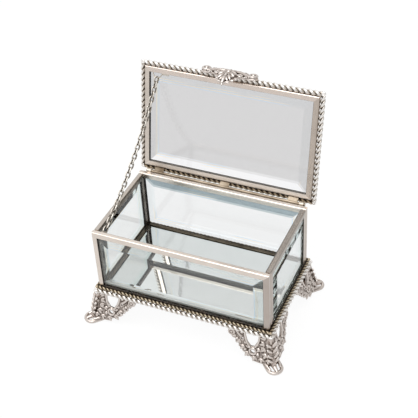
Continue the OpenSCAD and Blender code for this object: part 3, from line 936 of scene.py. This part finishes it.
def ring(x, y, radius, bar, level):
    """A raised ring round a point, in mm."""
    return rib([(*point, bar) for point in circle_points(x, y, radius, 12)], level, True)


WING_LEAN = math.radians(12)
WING_THICK = 1.76 * MM
WING_INSET = 0.4 * MM
WING_HEIGHT = FOOT_HEIGHT - 1.6 * MM
EDGE_ROUND = 0.3 * MM
# How fine the fused skins are, and how their relief is measured
FOOT_VOXEL, ORNAMENT_VOXEL = 0.24 * MM, 0.2 * MM
RELIEF_ROUNDS, FOOT_RELIEF, ORNAMENT_RELIEF = 14, 0.00022, 0.0002


def wing_parts():
    """One wing's plate and leafwork, x away from the corner, y up to the walls and z outwards."""
    outer = [
        (0, 0), (7, 0), (6.2, -3), (6.6, -8), (9, -12), (12, -12.6), (14.8, -9.5), (16.4, -5),
        (16, -0.4), (24, -0.4), (25.2, -2.2), (28.2, -2.4), (29, -4.8), (27.8, -7), (25.2, -7.2),
        (25.4, -9.4), (23.2, -9.2), (23, -12.2), (20.8, -11.8), (20.6, -15.2), (18.2, -14.8), (17.6, -18.4),
        (15, -17.8), (13.8, -21.4), (11.4, -20.4), (9.2, -23.8), (6, -24.2), (0, -24.3), (-5.1, -24.4),
    ]
    holes = [circle_points(*hole) for hole in (
        (10.2, -16, 1.8), (3.6, -12, 0.8), (26, -4.6, 0.9), (18.3, -8.2, 0.8),
    )]
    parts = [outline_mesh("wing_plate", outer, holes, WING_THICK)]
    parts += [
        rib([(6.5, -0.6, 0.9), (5.6, -4, 0.8), (6.1, -8.5, 0.8), (8.8, -12.2, 0.9)], 1.7),
        rib([(12.6, -13, 0.9), (15.2, -9.8, 0.9), (16.8, -5, 0.8), (16.8, -0.8, 0.8)], 1.7),
        rib([(23.6, -1, 1.0), (21.4, -4.6, 1.0), (18.6, -6.4, 1.0)], 1.8),
        ring(10.2, -16, 2.4, 0.85, 1.8),
        ring(26, -4.6, 1.9, 0.95, 1.7),
    ]
    for x, y, angle, size in (
        (23.0, -6.4, -34, 3.6), (19.6, -9.6, -44, 4.2), (16.4, -13.4, -50, 4.4), (13.4, -17.4, -60, 4.6),
        (8.6, -19.6, -74, 4.6), (3.6, -19.8, -88, 4.4), (19.6, -3.6, 150, 2.8), (16.6, -10.6, 168, 3.0),
        (1.8, -3.4, -8, 4.2), (2.2, -7.6, -24, 4.4), (1.6, -11.4, -42, 4.8), (5.4, -12.8, -60, 4.0),
        (0.4, -15.6, -66, 5.0), (-1.6, -19.4, -84, 4.6), (6.6, -9.6, -20, 2.6), (13.0, -13.6, 20, 2.8),
    ):
        parts += leaf(x, y, angle, size, 2.0)
    parts += [boss(x, y, 1.8, radius) for x, y, radius in (
        (26, -4.6, 1.1), (3.6, -1.8, 1.2), (15.6, -15.6, 1.2), (6.4, -17.4, 1.3), (12.8, -12.9, 1.2),
        (3.6, -12.0, 1.1), (21.8, -8.8, 1.1), (-0.4, -9.2, 1.2), (-2.2, -14.8, 1.2),
    )]
    return parts


TOE_REACH, TOE_LENGTH, TOE_WIDTH, TOE_BAR = 14 * MM, 17 * MM, 12.4 * MM, 2.6 * MM
TOE_POINTS = 28


def toe_parts():
    """The toe's ring and the leaf inside it, x outwards from the corner along the diagonal."""
    mid, half = TOE_REACH - TOE_LENGTH / 2, (TOE_LENGTH - TOE_WIDTH) / 2
    heel = -TOE_LENGTH / 2
    radius, bar = (TOE_WIDTH - TOE_BAR) / 2, TOE_BAR / 2
    loop = []
    for x, y in circle_points(0, 0, radius, TOE_POINTS):
        loop.append((mid + (half if x > 0 else -half) + x, y, bar * 0.97, bar * 0.98))
    tongue = [(mid + x, 0, z, thick) for x, z, thick in (
        (heel, 4.2 * MM, 2.8 * MM), (-4 * MM, 3.6 * MM, 2.7 * MM), (-1 * MM, 3.0 * MM, 2.2 * MM),
        (2.6 * MM, 2.4 * MM, 1.7 * MM), (6.6 * MM, 1.8 * MM, 1.1 * MM),
    )]
    parts = [strand("toe_ring", loop, closed=True), strand("toe_tongue", tongue)]
    for side in (-1, 1):
        parts.append(strand("toe_side", [(mid + x, side * y, z, thick) for x, y, z, thick in (
            (heel, 3.6 * MM, 4.4 * MM, 1.5 * MM), (-4 * MM, 4.4 * MM, 3.4 * MM, 1.4 * MM),
            (0, 4.6 * MM, 2.6 * MM, 1.2 * MM), (4 * MM, 3.6 * MM, 2.0 * MM, 0.9 * MM),
        )]))
    return parts


def moved(part, *matrices):
    """A copy of a part at each of the places, in its stead."""
    copies = [add_object("part", mesh_of([(part.data, matrix)])) for matrix in matrices]
    bpy.data.objects.remove(part)
    return copies


def foot_mesh():
    """The casting under the front left corner, with that corner at x = y = 0."""
    upright = Matrix.Rotation(math.pi / 2 - WING_LEAN, 4, "X")
    tilt = Matrix.Translation((0, WING_INSET, FOOT_HEIGHT)) @ upright
    # The other wing is this one with x and y changed over
    swap = Matrix(((0, 1, 0, 0), (1, 0, 0, 0), (0, 0, 1, 0), (0, 0, 0, 1)))
    diagonal = Matrix.Rotation(math.radians(225), 4, "Z")
    parts = []
    for part in wing_parts():
        parts += moved(part, tilt, swap @ tilt)
    for part in toe_parts():
        parts += moved(part, diagonal)
    # How far out the ridge between the wings has come at the wings' foot
    out = WING_HEIGHT * math.tan(WING_LEAN) * math.sqrt(2)
    spine = [
        (0.4 * MM, 0, FOOT_HEIGHT - 1.6 * MM, 1.4 * MM), (out * 0.24, 0, FOOT_HEIGHT * 0.7, 1.9 * MM),
        (out * 0.5, 0, FOOT_HEIGHT * 0.42, 1.7 * MM), (out * 0.78, 0, FOOT_HEIGHT * 0.2, 2.3 * MM),
        (out * 0.9, 0, 3 * MM, 2.0 * MM),
    ]
    parts += moved(strand("spine", spine), diagonal)
    for height in (0.66, 0.5, 0.34, 0.2):
        away, up = out * (1 - height) * 0.9, FOOT_HEIGHT * height
        for side in (-1, 1):
            parts += moved(strand("frond", [
                (away + 0.9 * MM, 0, up - 0.6 * MM, 1.0 * MM),
                (away + 1.7 * MM, side * 1.9 * MM, up + 1.6 * MM, 1.5 * MM),
                (away + 1.2 * MM, side * 3.6 * MM, up + 3.8 * MM, 0.6 * MM),
            ]), diagonal)
    return cast("foot_casting", parts, FOOT_VOXEL, FOOT_RELIEF)


def feet(made):
    """The four feet: one casting, mirrored to each corner."""
    casting = foot_mesh()
    for node, mirror_x, mirror_y in (
        ("foot_front_left", 1, 1), ("foot_front_right", -1, 1),
        ("foot_back_left", 1, -1), ("foot_back_right", -1, -1),
    ):
        place = (
            PLACED @ Matrix.Diagonal((mirror_x, mirror_y, 1, 1))
            @ Matrix.Translation((-LENGTH / 2, -DEPTH / 2, 0))
        )
        mesh = casting.data.copy()
        mesh.transform(place)
        if mirror_x * mirror_y < 0:
            mesh.flip_normals()
        foot = add_object(node + "_casting", mesh)
        finish_piece(foot, "casket", made["cast_metal"], (node,))
    bpy.data.objects.remove(casting)


# Where the thumb piece begins to bend in, over what length, and by how much
BEND_FROM, BEND_LENGTH, BEND_DEPTH = -5 * MM, 9.6 * MM, 2.6 * MM


def ornament(made):
    """The lid's cast thumb piece: two leafy scrolls and a cluster of leaves, bent in at its tip."""
    front = DEPTH / 2 + ROPE_D + 0.1 * MM
    half = [
        (0, 4.4), (4, 4.2), (8, 3.4), (12, 2), (16.4, 3.8), (20.2, 1), (19.4, -3), (15, -3.4), (11, -3),
        (8.4, -4), (7.4, -5.2), (8.0, -6.8), (6.2, -7.6), (6.4, -9.4), (4.4, -9.8), (4.0, -11.8),
        (2.0, -12.2), (0, -14.8),
    ]
    outline = half + [(-x, y) for x, y in reversed(half[1:-1])]
    parts = [outline_mesh("ornament_plate", outline, [], 1.4 * MM)]
    for side in (-1, 1):
        parts += [
            rib([(side * x, y, r) for x, y, r in (
                (3, 3.2, 1.0), (6, 3.0, 1.3), (9.4, 1.6, 1.4), (12.6, -0.8, 1.3), (15.4, -2.4, 1.1))], 1.9),
            ring(side * 16.8, 0.4, 2.5, 1.05, 2.2),
            ring(side * 8.2, -2.0, 1.5, 0.7, 1.9),
        ]
        for x, y, angle, size, level in (
            (5.6, 2.4, 66, 2.8, 2.4), (9.6, 1.2, 52, 3.2, 2.4), (12.4, -1.8, -64, 2.6, 2.0),
            (1.6, -1.2, -14, 4.6, 3.0), (1.8, -3.6, -36, 4.8, 3.0), (1.6, -6.4, -54, 4.6, 2.6),
            (1.4, 1.2, 34, 3.8, 2.8),
        ):
            parts += leaf(side * x, y, angle if side > 0 else 180 - angle, size, level)
        parts += [boss(side * 16.8, 0.4, 2.4, 1.3), boss(side * 12, 1.6, 2.0, 1.2)]
    parts += leaf(0, 0.4, 90, 3.8, 3.0) + leaf(0, -8.4, -90, 5.4, 2.4) + leaf(0, -4.4, -90, 4.6, 3.2)
    parts.append(boss(0, -1.4, 3.0, 1.9, 0.9))
    skin = cast("lid_ornament_casting", parts, ORNAMENT_VOXEL, ORNAMENT_RELIEF)
    for vertex in skin.data.vertices:
        past = max(0.0, BEND_FROM - vertex.co.y) / BEND_LENGTH
        vertex.co.z -= past * past * BEND_DEPTH
    skin.data.transform(
        OPENED @ Matrix.Translation((0, -front, LID_UNDER)) @ Matrix.Rotation(math.pi / 2, 4, "X")
    )
    finish_piece(skin, "lid", made["cast_metal"], ("lid_ornament",))


# ---- CAD nodes that keep their shape ----


# The nodes whose finish isn't that of their side or kind; most of them differ only by painted light and
# shade
NODE_FINISHES = {
    "floor_mirror": "mirror", "floor_front_rail": "floor_metal", "floor_right_rail": "floor_metal",
    "hinge_rod": "strap_metal", "hinge_lug_left": "hinge_metal", "hinge_lug_right": "hinge_metal",
    "body_chain_eye": "hinge_metal", "lid_chain_eye": "hinge_metal",
    "lid_left_rail": "lid_left_metal", "lid_right_rail": "lid_side_metal",
    "lid_back_rail": "lid_back_metal",
    "front_left_post": "wall_metal", "front_right_post": "post_metal", "right_front_post": "post_metal",
    "front_top_rail": "top_metal", "back_top_rail": "top_metal",
}
# Each side's finish. The sides' tones are painted light and shade; the floor rails not named above are
# painted dark, as painted shade.
SIDE_FINISHES = {
    "floor": "floor_shaded_metal", "lid": "lid_metal", "left": "left_metal", "right": "right_metal",
}


def node_finish(name):
    """The finish of a CAD node that keeps its shape."""
    if name in NODE_FINISHES:
        return NODE_FINISHES[name]
    if name.endswith("_pane"):
        return name.replace("pane", "glass")
    if name.endswith("_post"):
        return "upright_metal"
    return SIDE_FINISHES.get(name.split("_")[0], "wall_metal")


def dress_nodes(made):
    """Gives each CAD node that stays its material."""
    for name, node in NODES.items():
        node.data.materials.clear()
        node.data.materials.append(made[node_finish(name)])


# ---- Studio ----


# The share of the floor's shadow that shows, its paper's colour, and how bright it and its
# reflection in metal look
SHADOW_SHARE = 0.13
PAPER = (0.86, 0.86, 0.86, 1)
PAPER_GLOW, MIRRORED_PAPER = 1.07, 0.45
FLOOR_HALF = 3
# The strength of the world's own light; with what the camera is shown it comes to white
WORLD_LIGHT = 0.42
WHITE = (1, 1, 1, 1)
# Each lamp's name, place, width and power. All point at the middle of the box.
LAMPS = (
    ("key", (-0.15, -0.35, 1.3), 1.0, 6.5),
    ("fill", (-1.1, -0.7, 0.7), 0.8, 4),
    ("rim", (1.0, 0.9, 1.1), 0.8, 3),
)
LAMPS_AIM = Vector((0, 0, 0.05))


def seen_rays(tree):
    """1 where the camera sees a surface, itself or through glass, and 1 where metal reflects it."""
    path = tree.put("ShaderNodeLightPath", {}, {})
    direct = tree.math("MAXIMUM", path.out("Is Camera Ray"), path.out("Is Transmission Ray"))
    return direct, path.out("Is Glossy Ray")


def floor_material():
    """Matt paper that lights the object from below, and looks white with a faint shadow."""
    material, tree = new_material("floor_paper")
    fibre = object_noise(tree, 400, 2)
    matt = tree.put("ShaderNodeBsdfPrincipled", {}, {"Base Color": PAPER, "Roughness": 0.9 + fibre * 0.05})
    white = tree.put("ShaderNodeEmission", {}, {"Color": WHITE, "Strength": PAPER_GLOW})
    direct, mirrored = seen_rays(tree)
    seen = tree.math("MAXIMUM", direct * (1 - SHADOW_SHARE), mirrored * MIRRORED_PAPER)
    surface(tree, tree.mix_shaders(seen, matt, white))
    return material


def paper_floor():
    """The floor, which isn't part of the object."""
    shape = bmesh.new()
    bmesh.ops.create_grid(shape, x_segments=1, y_segments=1, size=FLOOR_HALF)
    ground = add_object("floor", plain_mesh("floor", shape))
    ground.data.materials.append(floor_material())


def white_world():
    """A white world. In metal it dims to the right and is brighter overhead."""
    world = bpy.data.worlds.new("world")
    bpy.context.scene.world = world
    world.use_nodes = True
    world.node_tree.nodes.clear()
    tree = Tree(world.node_tree)
    direct, mirrored = seen_rays(tree)
    # A world's Generated coordinates are the directions it is seen in
    toward = tree.put("ShaderNodeTexCoord", {}, {}, "Generated")
    way = tree.put("ShaderNodeSeparateXYZ", {}, {"Vector": toward})
    rise = tree.between(way.out("Z"), -0.1, 0.9)
    right = tree.between(way.out("X"), -0.3, 1.0)
    shown = direct * (1 - WORLD_LIGHT)
    glow = WORLD_LIGHT + tree.math("MAXIMUM", shown, mirrored * (0.4 + rise * 0.22 - right * 0.34))
    light = tree.put("ShaderNodeBackground", {}, {"Color": WHITE, "Strength": glow})
    output = tree.nodes.new("ShaderNodeOutputWorld")
    tree.links.new(light.socket, output.inputs["Surface"])


def lamps():
    """Three soft lamps, of which only the key lamp shows in metal and none through glass."""
    for name, place, width, power in LAMPS:
        lamp = bpy.data.lights.new(name, "AREA")
        lamp.size, lamp.energy = width, power
        thing = add_object(name, lamp)
        thing.location = place
        thing.rotation_euler = (Vector(place) - LAMPS_AIM).to_track_quat("Z", "Y").to_euler()
        thing.visible_glossy = name == "key"
        thing.visible_transmission = False


# ---- Making ----

camera()
MADE = materials()
dress_nodes(MADE)
shadow_beads(MADE)
ropes(MADE)
chain(MADE)
feet(MADE)
ornament(MADE)
bpy.context.scene.view_settings.view_transform = "Standard"
paper_floor()
white_world()
lamps()
